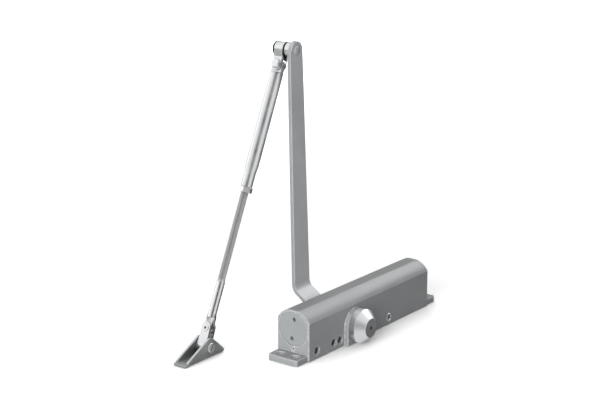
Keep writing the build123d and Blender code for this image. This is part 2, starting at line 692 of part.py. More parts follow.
def elbow_sleeve():
    """Spacer on the pin behind the arm."""
    inner = ELBOW_PIN_R + RUN_FIT
    edge = 0.5
    return turned_y([
        (inner, ARM_FAR_Y), (SLEEVE_R, ARM_FAR_Y), (SLEEVE_R, SLEEVE_FACE - edge),
        (SLEEVE_R - edge, SLEEVE_FACE), (inner, SLEEVE_FACE),
    ], ELBOW_X, ELBOW_Z)


def elbow_bush():
    """Bush with a flange on both sides of the strap."""
    inner = ELBOW_PIN_R + RUN_FIT
    outer = inner + BUSH_WALL
    near = SLEEVE_FACE + BUSH_FLANGE
    far = BUSH_FAR - BUSH_FLANGE
    return turned_y([
        (inner, SLEEVE_FACE), (BUSH_FLANGE_R, SLEEVE_FACE), (BUSH_FLANGE_R, near), (outer, near),
        (outer, far), (BUSH_FLANGE_R, far), (BUSH_FLANGE_R, BUSH_FAR), (inner, BUSH_FAR),
    ], ELBOW_X, ELBOW_Z)


# Forearm


def strap(bolt_s):
    """Folded strap with its loop round Y at the origin and its legs towards +Z."""
    leg_end = bolt_s + STRAP_WIDTH / 2 + 1

    def outline(radius, leg, end):
        """Loop that narrows to two straight legs."""
        reach = hypot(leg, STRAP_TAPER)
        turn = atan2(leg, STRAP_TAPER) + acos(min(1.0, radius / reach))
        touch = (radius * sin(turn), radius * cos(turn))
        other = (-touch[0], touch[1])
        path = Polyline(touch, (leg, STRAP_TAPER), (leg, end), (-leg, end), (-leg, STRAP_TAPER), other)
        path += ThreePointArc(other, (0, -radius), touch)
        return make_face(path)

    loop = outline(LOOP_R + STRAP_THICK, LEG_FACE, leg_end) - outline(LOOP_R, LEG_GAP, leg_end + 1)
    half = STRAP_WIDTH / 2
    solid = plate_y(loop, -half, half)
    tip = Pos(0, (bolt_s + 1) / 2 - LOOP_R) * Rectangle(STRAP_WIDTH, bolt_s + 1 + 2 * LOOP_R)
    tip += Pos(0, bolt_s + 1) * Circle(half)
    solid &= extrude(Plane.YZ.offset(-2 * LOOP_R) * tip, 4 * LOOP_R)
    return solid - rod_x(STRAP_BOLT_R + RUN_FIT, -LEG_FACE - 1, LEG_FACE + 1, z=bolt_s)


def elbow_strap():
    return ELBOW_FRAME * strap(ELBOW_BOLT_S)


def shoe_strap():
    return SHOE_STRAP_FRAME * strap(SHOE_RIVET_S)


def elbow_bolt():
    bolt = Pos(LEG_FACE, 0, ELBOW_BOLT_S) * Rot(0, 90, 0) * round_head(BOLT_HEAD_R, BOLT_HEAD, 1.6)
    bolt += rod_x(STRAP_BOLT_R, -LEG_FACE - THIN_NUT - 0.6, LEG_FACE + 1, z=ELBOW_BOLT_S)
    return ELBOW_FRAME * bolt


def elbow_nut():
    nut = hex_nut(NUT_AF, THIN_NUT, STRAP_BOLT_R + RUN_FIT)
    return ELBOW_FRAME * (Pos(-LEG_FACE, 0, ELBOW_BOLT_S) * Rot(0, -90, 0) * nut)


def tongue_cut(radius, start, end, run_out):
    """The two sides milled off a round bar to leave a tongue, with a cutter run-out at one end."""
    low, high = sorted((start, end))
    half = TONGUE_THICK / 2
    cut = None
    for side in (-1, 1):
        wide = radius + 1
        inner, outer = sorted((side * half, side * 2 * radius))
        piece = block(inner, outer, -wide, wide, low, high)
        inner, outer = sorted((side * (half + CUTTER_R), side * 2 * radius))
        piece += block(inner, outer, -wide, wide, low, run_out + CUTTER_R)
        piece += rod_y(CUTTER_R, -wide, wide, side * (half + CUTTER_R), run_out)
        cut = piece if cut is None else cut + piece
    return cut


def forearm_tube():
    top = ELBOW_BOLT_S - TUBE_R
    tube = turned_z([
        (0, top), (TUBE_R, top), (TUBE_R, TUBE_TAPER_START), (NECK_R, TUBE_NECK_START),
        (NECK_R, TUBE_END - 0.5), (NECK_R - 0.5, TUBE_END), (0, TUBE_END),
    ])
    tube -= tongue_cut(TUBE_R, top - 1, TUBE_FLAT_END - CUTTER_R, TUBE_FLAT_END - CUTTER_R)
    tip = Pos(0, (TUBE_END + ELBOW_BOLT_S) / 2) * Rectangle(3 * TUBE_R, TUBE_END - ELBOW_BOLT_S)
    tip += Pos(0, ELBOW_BOLT_S) * Circle(TUBE_R)
    tube &= extrude(Plane.YZ.offset(-2 * TUBE_R) * tip, 4 * TUBE_R)
    tube -= rod_x(STRAP_BOLT_R + RUN_FIT, -TUBE_R, TUBE_R, z=ELBOW_BOLT_S)
    tube -= rod_z(TUBE_BORE_R, TUBE_FLAT_END + 8, TUBE_TAPER_START)
    tube -= rod_z(ROD_R + RUN_FIT, TUBE_TAPER_START - 1, TUBE_END + 1)
    return ROD_FRAME * tube


def lock_nut():
    nut = hex_nut(LOCK_NUT_AF, LOCK_NUT_THICK, ROD_R + RUN_FIT)
    return ROD_FRAME * (Pos(0, 0, TUBE_END) * Rot(0, 0, 12) * nut)


def threaded_rod():
    end = RIVET_S + ROD_FLAT_WIDTH / 2
    rod = turned_z([
        (0, ROD_TOP), (ROD_R - 0.7, ROD_TOP), (ROD_R, ROD_TOP + 0.7), (ROD_R, THREAD_END),
        (SHANK_R, THREAD_END + 1), (SHANK_R, SHANK_END), (0, SHANK_END),
    ])
    half = ROD_FLAT_WIDTH / 2
    narrow = ROD_FLARE_START / 2
    sides = [(-narrow, SHANK_END - ROD_FLARE), (-half, SHANK_END), (-half, RIVET_S)]
    outline = Polyline(*sides) + Polyline(*[(-y, z) for y, z in sides])
    outline += Line(sides[0], (narrow, SHANK_END - ROD_FLARE))
    outline += ThreePointArc((-half, RIVET_S), (0, end), (half, RIVET_S))
    tongue = extrude(Plane.YZ.offset(-TONGUE_THICK / 2) * make_face(outline), TONGUE_THICK)
    rod += tongue
    rod -= rod_x(STRAP_BOLT_R + RUN_FIT, -TONGUE_THICK, TONGUE_THICK, z=RIVET_S)
    return ROD_FRAME * rod


def shoe_rivet():
    """Low-headed rivet with a hollow at each end."""
    face = LEG_FACE + RIVET_HEAD
    rivet = rod_x(STRAP_BOLT_R, -LEG_FACE, LEG_FACE, z=SHOE_RIVET_S)
    head = round_head(RIVET_HEAD_R, RIVET_HEAD, RIVET_HEAD / 2)
    for side in (-1, 1):
        rivet += Pos(side * LEG_FACE, 0, SHOE_RIVET_S) * Rot(0, side * 90, 0) * head
        ends = sorted((side * (face + 1), side * (face - RIVET_HOLE)))
        rivet -= rod_x(RIVET_HOLE_R, *ends, z=SHOE_RIVET_S)
    return SHOE_STRAP_FRAME * rivet


# Shoe


def shoe_cheek_face():
    """Side plate outline, drawn in X and Z about the shoe pin."""
    base = -SHOE_PIN_Z
    lip = base + SHOE_LIP
    apex = SHOE_APEX - SHOE_APEX_R

    def touch(x, z, side):
        """Where a straight edge from a corner meets the round apex."""
        reach = hypot(x, apex - z)
        turn = atan2(z - apex, x) - side * acos(SHOE_APEX_R / reach)
        return (SHOE_APEX_R * cos(turn), apex + SHOE_APEX_R * sin(turn))

    toe = SHOE_TOE - SHOE_FRONT
    front = touch(toe, lip, 1)
    rear = touch(SHOE_REAR, lip, -1)
    outline = Polyline(front, (toe, lip), (toe, base), (SHOE_REAR, base), (SHOE_REAR, lip), rear)
    outline += ThreePointArc(rear, (0, SHOE_APEX), front)
    face = make_face(outline)
    corners = [v for v in face.vertices() if abs(v.Y - lip) < 0.01]
    return fillet(corners, 2.0)


def shoe_inner_half():
    return STRAP_WIDTH / 2 + SHOE_SIDE_GAP


def shoe_bracket():
    inner = shoe_inner_half()
    outer = inner + SHOE_THICK
    base = -SHOE_PIN_Z
    solid = plate_y(shoe_cheek_face(), -outer, outer)
    folds = [e for e in solid.edges().filter_by(Axis.X) if abs(e.center().Z - base) < 0.01]
    solid = fillet(folds, SHOE_BEND_R)
    floor = base + SHOE_THICK
    solid -= block(-SHOE_FRONT, SHOE_REAR + 1, -inner, inner, floor, SHOE_APEX + 1)
    toe = block(-SHOE_FRONT, SHOE_TOE - SHOE_FRONT, -outer, outer, base, floor)
    corners = [e for e in toe.edges().filter_by(Axis.Z) if e.center().X < 0.1 - SHOE_FRONT]
    solid += fillet(corners, SHOE_TOE_ROUND)
    for x in SHOE_HOLE_XS:
        solid -= rod_z(SHOE_HOLE_R, base - 1, floor + 1, x)
    solid -= rod_y(SHOE_SCREW_R + RUN_FIT, -outer - 1, outer + 1, 0, 0)
    return Pos(SHOE_PIN) * solid


def shoe_bush():
    half = shoe_inner_half()
    inner = SHOE_SCREW_R + RUN_FIT
    outer = LOOP_R - RUN_FIT
    return Pos(SHOE_PIN) * turned_y([(inner, -half), (outer, -half), (outer, half), (inner, half)], 0, 0)


def shoe_screw():
    outer = shoe_inner_half() + SHOE_THICK
    head = round_head(SHOE_HEAD_R, SHOE_HEAD, 0.9)
    head -= Pos(0, 0, SHOE_HEAD) * Box(SLOT_WIDTH, 4 * SHOE_HEAD_R, SLOT_DEPTH)
    screw = Pos(0, -outer, 0) * Rot(0, 25, 0) * Rot(90, 0, 0) * head
    screw += rod_y(SHOE_SCREW_R, -outer - 0.5, outer + NUT_THICK + 1, 0, 0)
    return Pos(SHOE_PIN) * screw


def shoe_nut():
    outer = shoe_inner_half() + SHOE_THICK
    nut = hex_nut(NUT_AF, NUT_THICK, SHOE_SCREW_R + RUN_FIT)
    return Pos(SHOE_PIN) * (Pos(0, outer, 0) * Rot(-90, 0, 0) * nut)


def pieces():
    made = {
        "housing": housing(),
        "pressure_end_plug": end_plug(-1),
        "spring_end_plug": end_plug(1),
        "end_plug_seals": end_plug_seals(),
        "shaft_bearings": shaft_bearings(),
        "shaft_seals": shaft_seals(),
        "gland_nuts": gland_nuts(),
        "pinion_cap": pinion_cap(),
        "filler_plug": filler_plug(),
        "gallery_plug": gallery_plug(),
        "pinion_shaft": pinion_shaft(),
        "rack_piston": rack_piston(),
        "check_ball": check_ball(),
        "check_cage": check_cage(),
        "main_spring": main_spring(),
        "main_arm": main_arm(),
        "arm_washer": arm_washer(),
        "arm_screw": arm_screw(),
        "elbow_pin": elbow_pin(),
        "elbow_sleeve": elbow_sleeve(),
        "elbow_bush": elbow_bush(),
        "elbow_strap": elbow_strap(),
        "elbow_bolt": elbow_bolt(),
        "elbow_nut": elbow_nut(),
        "forearm_tube": forearm_tube(),
        "lock_nut": lock_nut(),
        "threaded_rod": threaded_rod(),
        "shoe_strap": shoe_strap(),
        "shoe_rivet": shoe_rivet(),
        "shoe_bracket": shoe_bracket(),
        "shoe_bush": shoe_bush(),
        "shoe_screw": shoe_screw(),
        "shoe_nut": shoe_nut(),
    }
    for turn, (name, x) in zip((20, 75, 130), VALVE_XS.items()):
        made[name] = valve(x, turn)
    return made


os.makedirs("parts", exist_ok=True)
for name, shape in pieces().items():
    solids = shape if isinstance(shape, list) else [shape]
    whole = Compound(children=[s for item in solids for s in item.solids()])
    print(name, len(whole.solids()), round(whole.volume, 1), [round(v, 2) for v in whole.bounding_box().size])
    export_step(whole, f"parts/{name}.step")

for label, point in (("elbow", ELBOW), ("tilt bolt", BOLT), ("rivet", RIVET), ("shoe pin", SHOE_PIN)):
    print(label, [round(v, 4) for v in point])
for label, vector in (("down", DOWN), ("out", OUT), ("along", ALONG)):
    print(label, [round(v, 6) for v in vector])
print("rivet from elbow", round(RIVET_S, 3), "travel", round(TRAVEL, 3), "pitch radius", PITCH_R)
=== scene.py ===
"""Looks of an overhead door closer: finishes, rolled rod thread, return spring and studio."""

import json
import math

import bmesh
import bpy
from bpy.props import FloatProperty, FloatVectorProperty, IntProperty, PointerProperty
from mathutils import Matrix, Vector


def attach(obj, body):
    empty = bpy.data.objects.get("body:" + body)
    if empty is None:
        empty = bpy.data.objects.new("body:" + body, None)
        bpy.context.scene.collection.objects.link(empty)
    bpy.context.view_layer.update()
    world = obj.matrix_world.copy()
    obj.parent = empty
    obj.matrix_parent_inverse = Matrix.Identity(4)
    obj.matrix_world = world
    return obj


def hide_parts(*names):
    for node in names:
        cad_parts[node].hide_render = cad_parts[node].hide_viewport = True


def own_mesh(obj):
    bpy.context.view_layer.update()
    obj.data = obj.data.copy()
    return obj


bl_info = {
    "name": "Door closer looks",
    "version": (1, 0, 0),
    "blender": (4, 5, 0),
    "location": "View3D > Sidebar > Closer",
    "description": "Finishes, rod thread and studio for an overhead door closer",
    "category": "Object",
}

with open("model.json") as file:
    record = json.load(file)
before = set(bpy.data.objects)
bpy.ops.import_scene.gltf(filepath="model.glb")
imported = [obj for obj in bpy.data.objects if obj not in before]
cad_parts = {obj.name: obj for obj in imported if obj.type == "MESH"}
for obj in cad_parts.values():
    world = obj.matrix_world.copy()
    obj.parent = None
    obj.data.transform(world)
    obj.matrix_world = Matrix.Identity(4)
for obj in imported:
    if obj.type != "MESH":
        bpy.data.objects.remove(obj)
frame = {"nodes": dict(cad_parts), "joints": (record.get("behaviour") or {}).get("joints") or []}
NODES = frame["nodes"]
JOINTS = {joint["name"]: joint for joint in frame["joints"]}
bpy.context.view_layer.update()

# Lengths are in metres; those along the forearm are from the elbow axis.
BOLT_FROM_ELBOW = 0.0175
ROD_TOP = 0.082
THREAD_END = 0.257
SHANK_END = 0.2925
ROD_RADIUS = 0.0044
SHANK_RADIUS = 0.0046
# First rings of the shank, beyond the end of the thread.
SHANK_STARTS = (0.001, 0.0015)
# Thread profile: slope of the flanks and how far they drop, which leaves a flat crest and root.
FLANK_SLOPE = 1.35
FLANK_DROP = 0.15
# Points of the CAD rod nearer than this are one; edges that turn further than the angle are sharp.
WELD_DISTANCE = 1e-6
SHARP_ANGLE = math.radians(28)
# Material slots of the rod.
THREAD_SLOT, SHANK_SLOT = 0, 1


# Settings


def colour_setting(name, description, default):
    """A colour with three channels."""
    return FloatVectorProperty(
        name=name, description=description, default=default, subtype="COLOR", size=3,
        min=0.0, max=1.0,
    )


class CloserFinish(bpy.types.PropertyGroup):
    """Colours and surface grain of the closer's finishes."""

    casting: colour_setting(
        "Casting paint", "Silver paint on the body and its end plugs", (0.330, 0.342, 0.348)
    )
    arm: colour_setting("Arm paint", "Silver paint on the main arm", (0.475, 0.488, 0.498))
    cap: colour_setting("Cap lacquer", "Silver lacquer on the pinion cap", (0.70, 0.71, 0.72))
    zinc: colour_setting(
        "Bright zinc", "Plating on the tube, straps and fasteners", (0.84, 0.85, 0.86)
    )
    thread: colour_setting(
        "Thread zinc", "Duller plating on the rolled thread", (0.74, 0.75, 0.75)
    )
    sheet: colour_setting("Sheet zinc", "Plating on the pressed shoe", (0.56, 0.58, 0.58))
    dark_steel: colour_setting("Dark steel", "Blackened gland nuts", (0.09, 0.092, 0.096))
    bare_steel: colour_setting(
        "Bare steel", "Ground pinion, check valve and spring wire", (0.36, 0.36, 0.37)
    )
    iron: colour_setting("Iron", "Machined piston", (0.22, 0.22, 0.23))
    bronze: colour_setting("Bronze", "Sintered bearings and shoe bush", (0.52, 0.34, 0.15))
    screw: colour_setting("Screw zinc", "Duller plating on the shoe's screw", (0.70, 0.71, 0.72))
    # Dark so that the valves also carry painted shade from their holes.
    valve_and_hole_shade: colour_setting("Valve steel", "Turned regulating valves, darkened as painted shade from their holes", (0.17, 0.172, 0.175))
    bush: colour_setting("Bush black", "Moulded elbow bush", (0.02, 0.02, 0.021))
    rubber: colour_setting("Rubber", "Seals", (0.02, 0.02, 0.02))
    grain: FloatProperty(
        name="Spray grain", description="Size of the paint's grain", default=0.0007, min=0.0001,
        unit="LENGTH",
    )
    # Edge wear also paints highlights on the rounded edges.
    wear_and_highlight: FloatProperty(
        name="Edge rubbing and highlight", description="Share of the painted edges brightened by rubbing and by a painted highlight",
        default=0.45, min=0.0, max=1.0, subtype="FACTOR",
    )


class CloserThread(bpy.types.PropertyGroup):
    """Thread on the forearm's rod."""

    pitch: FloatProperty(
        name="Pitch", description="Rise in one turn", default=0.00125, min=0.0005, unit="LENGTH"
    )
    depth: FloatProperty(
        name="Depth", description="Crest to root", default=0.00062, min=0.0001, unit="LENGTH"
    )
    sides: IntProperty(name="Sides", description="Points round the rod", default=36, min=12)
    steps: IntProperty(name="Steps", description="Rings in one turn", default=8, min=4)


class CloserStage(bpy.types.PropertyGroup):
    """Floor, lamps and camera."""

    floor: colour_setting("Floor", "Floor colour", (0.9, 0.9, 0.9))
    key: FloatProperty(
        name="Key lamp", description="Large lamp on the end face's side", default=46.0,
        unit="POWER",
    )
    fill: FloatProperty(
        name="Fill lamp", description="Soft lamp beside the camera", default=4.6, unit="POWER"
    )
    rear: FloatProperty(
        name="Rear lamp", description="Soft lamp on the arm side", default=22.0, unit="POWER"
    )
    back: FloatProperty(
        name="Back lamp", description="Lamp over the spring end, seen in reflections only",
        default=13.0, unit="POWER",
    )
    lens: FloatProperty(
        name="Lens", description="Focal length in millimetres", default=94.48, min=10.0,
        unit="CAMERA",
    )


# Shader building


def link(tree, source, target):
    """Joins an output to an input."""
    tree.links.new(source, target)


def feed(tree, value, socket):
    """Links an input to another node's output, or sets it to a plain value."""
    if isinstance(value, bpy.types.NodeSocket):
        link(tree, value, socket)
    else:
        socket.default_value = value


def feed_named(tree, made, values):
    """Feeds a node's inputs by name, with an underscore for each space."""
    for name, value in values.items():
        feed(tree, value, made.inputs[name.replace("_", " ")])
    return made


def node(tree, kind, **values):
    """A shader node with its named inputs set or linked."""
    return feed_named(tree, tree.nodes.new(kind), values)


def maths(tree, operation, first, second=0.0, clamp=False):
    """One step of arithmetic."""
    made = tree.nodes.new("ShaderNodeMath")
    made.operation = operation
    made.use_clamp = clamp
    for socket, value in zip(made.inputs, (first, second)):
        feed(tree, value, socket)
    return made.outputs[0]


def vector_maths(tree, operation, *values):
    """One step of arithmetic on vectors; returns the outputs Vector and Value."""
    made = tree.nodes.new("ShaderNodeVectorMath")
    made.operation = operation
    for socket, value in zip(made.inputs, values):
        feed(tree, value, socket)
    return made.outputs


def mix_colour(tree, share, first, second, blend="MIX"):
    """Two colours mixed; inputs 6 and 7 and output 2 are the mix node's colour sockets."""
    made = tree.nodes.new("ShaderNodeMix")
    made.data_type = "RGBA"
    made.blend_type = blend
    for index, value in ((0, share), (6, first), (7, second)):
        feed(tree, value, made.inputs[index])
    return made.outputs[2]


def grey_of(tree, level):
    """A grey of a given level."""
    return node(tree, "ShaderNodeCombineColor", Red=level, Green=level, Blue=level).outputs[0]


def spread(tree, value, low, high, out_low, out_high):
    """A value moved from one range to another and held at its ends."""
    made = tree.nodes.new("ShaderNodeMapRange")
    made.clamp = True
    ends = {"From_Min": low, "From_Max": high, "To_Min": out_low, "To_Max": out_high}
    return feed_named(tree, made, {"Value": value, **ends}).outputs["Result"]


# Range that holds most of a noise's values.
NOISE_MIDDLE = (0.3, 0.7)


def vary(tree, pattern, low, high):
    """The middle range of a noise moved to another range."""
    return spread(tree, pattern, *NOISE_MIDDLE, low, high)


def noise(tree, vector, scale, detail):
    """Noise between 0 and 1."""
    made = node(tree, "ShaderNodeTexNoise", Vector=vector, Scale=scale, Detail=detail)
    return made.outputs["Fac"]


def scaled(tree, vector, scale):
    """A vector stretched along its axes."""
    return vector_maths(tree, "MULTIPLY", vector, scale)["Vector"]


def coordinates(tree):
    """The outputs of a new texture coordinate node."""
    return node(tree, "ShaderNodeTexCoord").outputs


COLOUR = "NodeSocketColor"
VALUE = "NodeSocketFloat"
VECTOR = "NodeSocketVector"
MID_GREY = (0.5, 0.5, 0.5, 1.0)
WHITE = (1.0, 1.0, 1.0, 1.0)
SURFACE = [("Colour", COLOUR), ("Roughness", VALUE), ("Height", VALUE)]
MASKED = [("Colour", COLOUR), ("Mask", VALUE)]


def group(name, inputs, outputs):
    """An empty shader group with its sockets; returns it, its inputs and its outputs."""
    made = bpy.data.node_groups.new(name, "ShaderNodeTree")
    for label, kind, default in inputs:
        socket = made.interface.new_socket(label, in_out="INPUT", socket_type=kind)
        socket.default_value = default
    for label, kind in outputs:
        made.interface.new_socket(label, in_out="OUTPUT", socket_type=kind)
    source = made.nodes.new("NodeGroupInput").outputs
    return made, source, made.nodes.new("NodeGroupOutput").inputs


def spray_group():
    """Sprayed metallic paint: fine flake, slow clouding and orange peel."""
    inputs = [
        ("Colour", COLOUR, MID_GREY), ("Grain", VALUE, 0.0007), ("Flake", VALUE, 0.1),
        ("Roughness", VALUE, 0.4),
    ]
    peel_fineness = 0.35
    flake_height = 0.35
    tree, source, result = group("Sprayed paint", inputs, SURFACE)
    place = coordinates(tree)["Object"]
    fineness = maths(tree, "DIVIDE", 1.0, source["Grain"])
    flake = noise(tree, place, fineness, detail=2.0)
    peel = noise(tree, place, maths(tree, "MULTIPLY", fineness, peel_fineness), detail=2.0)
    cloud = noise(tree, place, scale=28.0, detail=4.0)
    dark = maths(tree, "SUBTRACT", 1.0, source["Flake"])
    light = maths(tree, "ADD", 1.0, source["Flake"])
    level = vary(tree, flake, dark, light)
    level = maths(tree, "MULTIPLY", level, vary(tree, cloud, low=0.955, high=1.045))
    tinted = mix_colour(tree, 1.0, source["Colour"], grey_of(tree, level), "MULTIPLY")
    link(tree, tinted, result["Colour"])
    rough = maths(tree, "ADD", source["Roughness"], vary(tree, cloud, low=-0.04, high=0.05))
    rough = maths(tree, "ADD", rough, vary(tree, flake, low=-0.03, high=0.03))
    link(tree, rough, result["Roughness"])
    height = maths(tree, "ADD", maths(tree, "MULTIPLY", flake, flake_height), peel)
    link(tree, height, result["Height"])
    return tree


def drawn_group():
    """Drawn or rolled plated metal: streaks along one direction, with cloudy passivation."""
    inputs = [
        ("Colour", COLOUR, MID_GREY), ("Stretch", VECTOR, (1.0, 1.0, 1.0)),
        ("Streak", VALUE, 0.06), ("Roughness", VALUE, 0.25),
    ]
    fine_height = 0.4
    tree, source, result = group("Drawn metal", inputs, SURFACE)
    place = coordinates(tree)["Object"]
    streak = noise(tree, scaled(tree, place, source["Stretch"]), scale=900.0, detail=4.0)
    cloud = noise(tree, place, scale=60.0, detail=5.0)
    fine = noise(tree, place, scale=2600.0, detail=1.0)
    dark = maths(tree, "SUBTRACT", 1.0, source["Streak"])
    level = vary(tree, streak, dark, 1.0)
    bloom = spread(tree, cloud, low=0.3, high=0.75, out_low=0.93, out_high=1.0)
    level = maths(tree, "MULTIPLY", level, bloom)
    tinted = mix_colour(tree, 1.0, source["Colour"], grey_of(tree, level), "MULTIPLY")
    link(tree, tinted, result["Colour"])
    rough = maths(tree, "ADD", source["Roughness"], vary(tree, cloud, low=-0.05, high=0.08))
    rough = maths(tree, "ADD", rough, vary(tree, streak, low=-0.03, high=0.05))
    link(tree, rough, result["Roughness"])
    height = maths(tree, "ADD", streak, maths(tree, "MULTIPLY", fine, fine_height))
    link(tree, height, result["Height"])
    return tree


def wear_and_highlight_group():
    """Rubbed-bright edges with a painted highlight: the worn colour where the rounded normal turns
    from the flat one, broken up by noise.
    """
    inputs = [
        ("Colour", COLOUR, MID_GREY), ("Worn Colour", COLOUR, MID_GREY),
        ("Width", VALUE, 0.0008), ("Amount", VALUE, 0.4),
    ]
    # Cosines of the turn at which the rubbing and painted highlight start and are full.
    starts, full = 0.997, 0.94
    tree, source, result = group("Rubbed edges", inputs, MASKED)
    flat = node(tree, "ShaderNodeNewGeometry").outputs["Normal"]
    bevel = node(tree, "ShaderNodeBevel", Radius=source["Width"])
    bevel.samples = 6
    turn = vector_maths(tree, "DOT_PRODUCT", flat, bevel.outputs["Normal"])["Value"]
    edge = spread(tree, turn, starts, full, 0.0, 1.0)
    patches = noise(tree, coordinates(tree)["Object"], scale=420.0, detail=5.0)
    broken = spread(tree, patches, low=0.38, high=0.62, out_low=0.25, out_high=1.0)
    mask = maths(tree, "MULTIPLY", edge, broken)
    mask = maths(tree, "MULTIPLY", mask, source["Amount"], clamp=True)
    link(tree, mask, result["Mask"])
    rubbed_and_lit = mix_colour(tree, mask, source["Colour"], source["Worn Colour"])
    link(tree, rubbed_and_lit, result["Colour"])
    return tree


def grime_and_shade_group():
    """Dust and oil held in corners and slots, with painted shade: darker where ambient occlusion
    finds the surface closed in.
    """
    inputs = [("Colour", COLOUR, MID_GREY), ("Reach", VALUE, 0.004), ("Amount", VALUE, 0.5)]
    tint = (0.31, 0.322, 0.316, 1.0)
    # Openness at which the dirt and painted shade are full and have gone.
    full, gone = 0.35, 0.95
    tree, source, result = group("Corner grime", inputs, MASKED)
    hollow = node(tree, "ShaderNodeAmbientOcclusion", Distance=source["Reach"])
    hollow.samples = 8
    shade = spread(tree, hollow.outputs["AO"], full, gone, 1.0, 0.0)
    patches = noise(tree, coordinates(tree)["Object"], scale=180.0, detail=4.0)
    shade = maths(tree, "MULTIPLY", shade, vary(tree, patches, low=0.6, high=1.0))
    mask = maths(tree, "MULTIPLY", shade, source["Amount"], clamp=True)
    link(tree, mask, result["Mask"])
    grime_and_shade = mix_colour(tree, 1.0, source["Colour"], tint, "MULTIPLY")
    link(tree, mix_colour(tree, mask, source["Colour"], grime_and_shade), result["Colour"])
    return tree


def sheared_side_shade_group():
    """Painted shade on side faces that look along X, streaked with tears like a cut strip's edge.
    """
    inputs = [("Colour", COLOUR, MID_GREY), ("Amount", VALUE, 0.5)]
    tint = (0.5, 0.5, 0.5, 1.0)
    # How squarely a face looks sideways where the painted shade starts and is full.
    starts, full = 0.72, 0.95
    tear_stretch = (1.0, 1.0, 0.25)
    tree, source, result = group("Sheared sides", inputs, MASKED)
    place = coordinates(tree)
    sideways = node(tree, "ShaderNodeSeparateXYZ", Vector=place["Normal"]).outputs["X"]
    side = spread(tree, maths(tree, "ABSOLUTE", sideways), starts, full, 0.0, 1.0)
    tears = noise(tree, scaled(tree, place["Object"], tear_stretch), scale=700.0, detail=4.0)
    torn = vary(tree, tears, low=0.75, high=1.0)
    mask = maths(tree, "MULTIPLY", side, torn)
    mask = maths(tree, "MULTIPLY", mask, source["Amount"], clamp=True)
    link(tree, mask, result["Mask"])
    shade = mix_colour(tree, 1.0, source["Colour"], tint, "MULTIPLY")
    link(tree, mix_colour(tree, mask, source["Colour"], shade), result["Colour"])
    return tree


GROUP_BUILDERS = {
    "spray": spray_group, "drawn": drawn_group, "wear_and_highlight": wear_and_highlight_group, "grime_and_shade": grime_and_shade_group,
    "sheared_side_shade": sheared_side_shade_group,
}
GROUPS = {}


def place_group(tree, name, **values):
    """Places a shared effect, built once, with its own values; returns its outputs."""
    made = tree.nodes.new("ShaderNodeGroup")
    if name not in GROUPS:
        GROUPS[name] = GROUP_BUILDERS[name]()
    made.node_tree = GROUPS[name]
    return feed_named(tree, made, values).outputs


def opaque(colour):
    """A colour setting with full alpha."""
    return (colour[0], colour[1], colour[2], 1.0)


def sprayed(colour, rough, grain, flake=0.1):
    """Function that adds sprayed paint to a material."""
    def base(tree):
        return place_group(
            tree, "spray", Colour=opaque(colour), Grain=grain, Flake=flake, Roughness=rough
        )
    return base


def drawn(colour, rough, stretch, streak=0.07):
    """Function that adds drawn metal to a material; the streaks run where stretch is small."""
    def base(tree):
        return place_group(
            tree, "drawn", Colour=opaque(colour), Stretch=stretch, Streak=streak, Roughness=rough
        )
    return base


# How much a full mask changes the roughness.
SHEARED_ROUGHER = 0.15
RUBBED_SMOOTHER = 0.08
GRIME_ROUGHER = 0.2


def finish_material(
    name, base, metallic, bump, wear_and_highlight=0.0, worn_and_lit=None, width=0.0008, grime_and_shade=0.5, reach=0.004,
    gloss=0.5, sheared_side_shade=0.0,
):
    """Principled material over a surface effect, with rubbed edges that carry a painted highlight,
    and corner grime that also carries painted shade.

    base is a function that adds the surface effect and returns its outputs, and bump is the
    height of its relief in metres. Edges are rubbed to the colour worn over a width, which also
    paints a highlight on them, and the grime, with its painted shade, reaches a distance out of
    the corners. Sides that look along X can be given painted shade.
    """
    material = bpy.data.materials.new(name)
    material.use_nodes = True
    tree = material.node_tree
    tree.nodes.clear()
    surface = base(tree)
    colour = surface["Colour"]
    rough = surface["Roughness"]
    # Sides that look along X get painted shade.
    if sheared_side_shade > 0.0:
        sides = place_group(tree, "sheared_side_shade", Colour=colour, Amount=sheared_side_shade)
        colour = sides["Colour"]
        change = maths(tree, "MULTIPLY", sides["Mask"], SHEARED_ROUGHER)
        rough = maths(tree, "ADD", rough, change, clamp=True)
    # Rubbed edges also get a painted highlight.
    if wear_and_highlight > 0.0:
        rubbed_and_lit = place_group(
            tree, "wear_and_highlight", Colour=colour, Worn_Colour=opaque(worn_and_lit), Width=width, Amount=wear_and_highlight
        )
        colour = rubbed_and_lit["Colour"]
        change = maths(tree, "MULTIPLY", rubbed_and_lit["Mask"], RUBBED_SMOOTHER)
        rough = maths(tree, "SUBTRACT", rough, change)
    # Grime also paints shade in corners and slots.
    if grime_and_shade > 0.0:
        held = place_group(tree, "grime_and_shade", Colour=colour, Reach=reach, Amount=grime_and_shade)
        colour = held["Colour"]
        change = maths(tree, "MULTIPLY", held["Mask"], GRIME_ROUGHER)
        rough = maths(tree, "ADD", rough, change, clamp=True)
    relief = node(
        tree, "ShaderNodeBump", Strength=1.0, Distance=bump, Height=surface["Height"]
    )
    shader = node(
        tree, "ShaderNodeBsdfPrincipled", Metallic=metallic, Specular_IOR_Level=gloss,
        Base_Color=colour, Roughness=rough, Normal=relief.outputs["Normal"],
    )
    node(tree, "ShaderNodeOutputMaterial", Surface=shader.outputs[0])
    return material


def dress(material, *names):
    """Gives CAD nodes their finished material."""
    for name in names:
        mesh = NODES[name].data
        mesh.materials.clear()
        mesh.materials.append(material)


# Pieces

# How much more the casting's edges are rubbed bright and given painted highlights than those of the
# other painted pieces.
CASTING_WEAR_AND_HIGHLIGHT = 2.2


